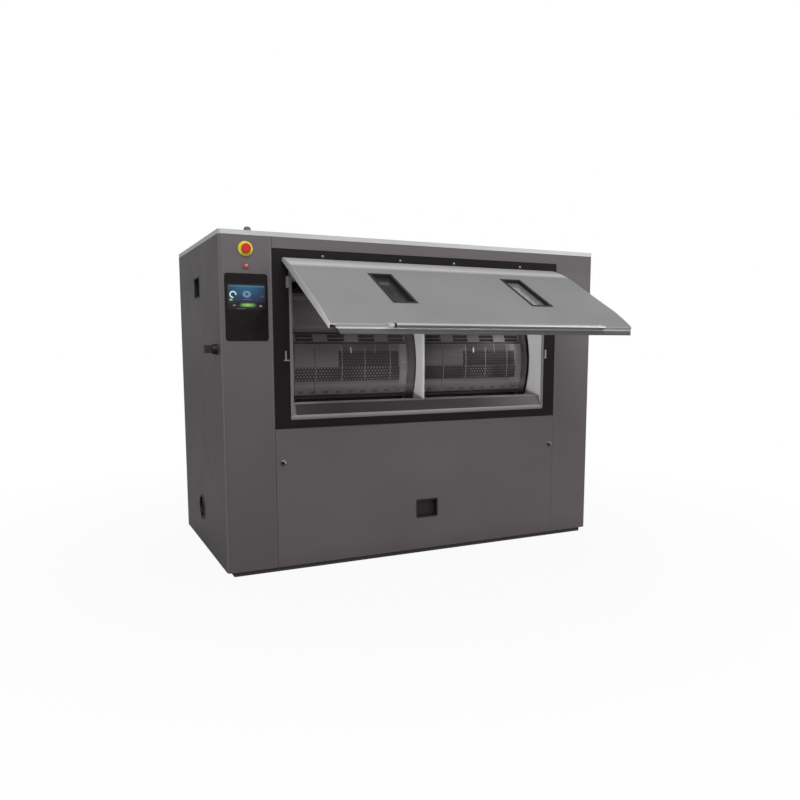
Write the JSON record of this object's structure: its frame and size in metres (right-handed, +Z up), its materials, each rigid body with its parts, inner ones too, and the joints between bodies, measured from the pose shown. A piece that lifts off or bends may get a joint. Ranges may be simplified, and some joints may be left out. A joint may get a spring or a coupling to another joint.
{
  "type": "barrier washer",
  "caption": "Pass-through industrial washer-extractor: grey sheet-metal cabinet, control column, black door surround, upswung loading door, horizontal two-pocket drum with flap hatches",
  "frame": {"origin": "centre of the cabinet's base on the floor, at the centre of the four floor bolt holes", "axes": "+X to the right of the loading side, +Y to the clean side, +Z up"},
  "size_m": [2.282, 1.945, 1.725],
  "materials": {
    "frame_dark": "dark grey paint",
    "frame_grey": "grey paint",
    "panel_grey": "smooth grey paint",
    "lid_light": "smooth light grey paint",
    "cap_grey": "grey plastic",
    "surround_black": "black paint",
    "stainless": "brushed stainless",
    "steel_bright": "bright steel",
    "black_plastic": "black plastic",
    "stop_yellow": "yellow plastic",
    "black_gloss": "black gloss",
    "screen": "lit screen",
    "cast": "cast iron",
    "brass": "brass",
    "motor_blue": "blue paint",
    "rubber_black": "black rubber",
    "stop_red": "red plastic",
    "lens_red": "red lens",
    "door_grey": "satin grey",
    "glass": "clear",
    "drum_steel": "ground stainless"
  },
  "bodies": {
    "cabinet": {"base_frame": "frame_dark", "plinth": "frame_dark", "drum_supports": "frame_grey", "upright_frame": "frame_grey", "bay_frames": "frame_grey", "control_column": "panel_grey", "front_panels": "panel_grey", "left_side_panel": "panel_grey", "right_side_panel": "panel_grey", "rear_panels": "panel_grey", "top_lid": "lid_light", "roof_plug": "cap_grey", "front_surround": "surround_black", "front_throat": "stainless", "front_sill": "stainless", "rear_throat": "stainless", "rear_cheeks": "stainless", "door_hinges": "steel_bright", "door_catches": "steel_bright", "flush_pulls": "black_plastic", "duct_ring": "black_plastic", "switch_base": "black_plastic", "stop_base": "stop_yellow", "button_bezel": "steel_bright", "operator_panel": "black_gloss", "operator_screen": "screen", "outer_tub": "stainless", "bearing_housings": "cast", "shaft_bearings": "steel_bright", "drain_valve": "black_plastic", "waste_pipe": "black_plastic", "water_inlets": "brass", "electrical_box": "panel_grey", "motor": "motor_blue", "drive_belt": "rubber_black"},
    "front_door": {"front_door_skin": "door_grey", "front_door_liner": "stainless", "front_door_gaskets": "rubber_black", "front_window_glass": "glass", "front_door_handle": "steel_bright"},
    "rear_door": {"rear_door_skin": "door_grey", "rear_door_liner": "stainless", "rear_window_glass": "glass", "rear_door_handle": "steel_bright", "rear_door_seal": "rubber_black"},
    "drum": {"drum_shell": "drum_steel", "drum_walls": "drum_steel", "drum_pulley": "cast"},
    "motor_pulley": {"motor_pulley": "cast"},
    "lower_flap_left": {"lower_flap_left": "drum_steel"},
    "lower_flap_right": {"lower_flap_right": "drum_steel"},
    "upper_flap_left": {"upper_flap_left": "drum_steel"},
    "upper_flap_right": {"upper_flap_right": "drum_steel"},
    "lever_left": {"lever_left": "steel_bright"},
    "lever_right": {"lever_right": "steel_bright"},
    "stop_head": {"stop_head": "stop_red"},
    "push_button": {"push_button": "lens_red"},
    "switch_knob": {"switch_knob": "black_plastic"},
    "lock_left": {"lock_left": "steel_bright"},
    "lock_right": {"lock_right": "steel_bright"}
  },
  "joints": [
    {"name": "front_door_hinge", "type": "hinge", "parent": "cabinet", "child": "front_door", "pos_m": [-0.0035, -0.593, 1.555], "axis": [1, 0, 0], "range_deg": [0, 62.9]},
    {"name": "rear_door_hinge", "type": "hinge", "parent": "cabinet", "child": "rear_door", "pos_m": [-0.0035, 0.593, 1.555], "axis": [-1, 0, 0], "range_deg": [-62.9, 0]},
    {"name": "drum_spin", "type": "hinge", "parent": "cabinet", "child": "drum", "pos_m": [-0.0035, 0, 1.055], "axis": [1, 0, 0], "continuous": true},
    {"name": "motor_spin", "type": "hinge", "parent": "cabinet", "child": "motor_pulley", "pos_m": [0.93, 0, 0.3], "axis": [1, 0, 0], "continuous": true},
    {"name": "lower_flap_left_hinge", "type": "hinge", "parent": "drum", "child": "lower_flap_left", "pos_m": [-0.384, -0.41879, 0.89172], "axis": [1, 0, 0], "range_deg": [-85, 0]},
    {"name": "upper_flap_left_hinge", "type": "hinge", "parent": "drum", "child": "upper_flap_left", "pos_m": [-0.384, -0.27052, 1.41399], "axis": [-1, 0, 0], "range_deg": [-55, 0]},
    {"name": "lever_left_turn", "type": "hinge", "parent": "lower_flap_left", "child": "lever_left", "pos_m": [-0.395, -0.4494, 1.12618], "axis": [0, -0.9877, 0.1564], "range_deg": [0, 90]},
    {"name": "lower_flap_right_hinge", "type": "hinge", "parent": "drum", "child": "lower_flap_right", "pos_m": [0.377, -0.41879, 0.89172], "axis": [1, 0, 0], "range_deg": [-85, 0]},
    {"name": "upper_flap_right_hinge", "type": "hinge", "parent": "drum", "child": "upper_flap_right", "pos_m": [0.377, -0.27052, 1.41399], "axis": [-1, 0, 0], "range_deg": [-55, 0]},
    {"name": "lever_right_turn", "type": "hinge", "parent": "lower_flap_right", "child": "lever_right", "pos_m": [0.366, -0.4494, 1.12618], "axis": [0, -0.9877, 0.1564], "range_deg": [0, 90]},
    {"name": "stop_press", "type": "slide", "parent": "cabinet", "child": "stop_head", "axis": [0, 1, 0], "range_m": [0, 0.005]},
    {"name": "button_press", "type": "slide", "parent": "cabinet", "child": "push_button", "axis": [0, 1, 0], "range_m": [0, 0.003], "stiffness_N_per_m": 400},
    {"name": "switch_turn", "type": "hinge", "parent": "cabinet", "child": "switch_knob", "pos_m": [-1.12, -0.487, 1.135], "axis": [-1, 0, 0], "range_deg": [0, 90]},
    {"name": "lock_left_turn", "type": "hinge", "parent": "cabinet", "child": "lock_left", "pos_m": [-0.8175, -0.58, 0.563], "axis": [0, 1, 0], "range_deg": [0, 90]},
    {"name": "lock_right_turn", "type": "hinge", "parent": "cabinet", "child": "lock_right", "pos_m": [0.8215, -0.58, 0.563], "axis": [0, 1, 0], "range_deg": [0, 90]}
  ],
  "couplings": [
    {"joint": "motor_spin", "follows": "drum_spin", "ratio": 4.1667}
  ]
}
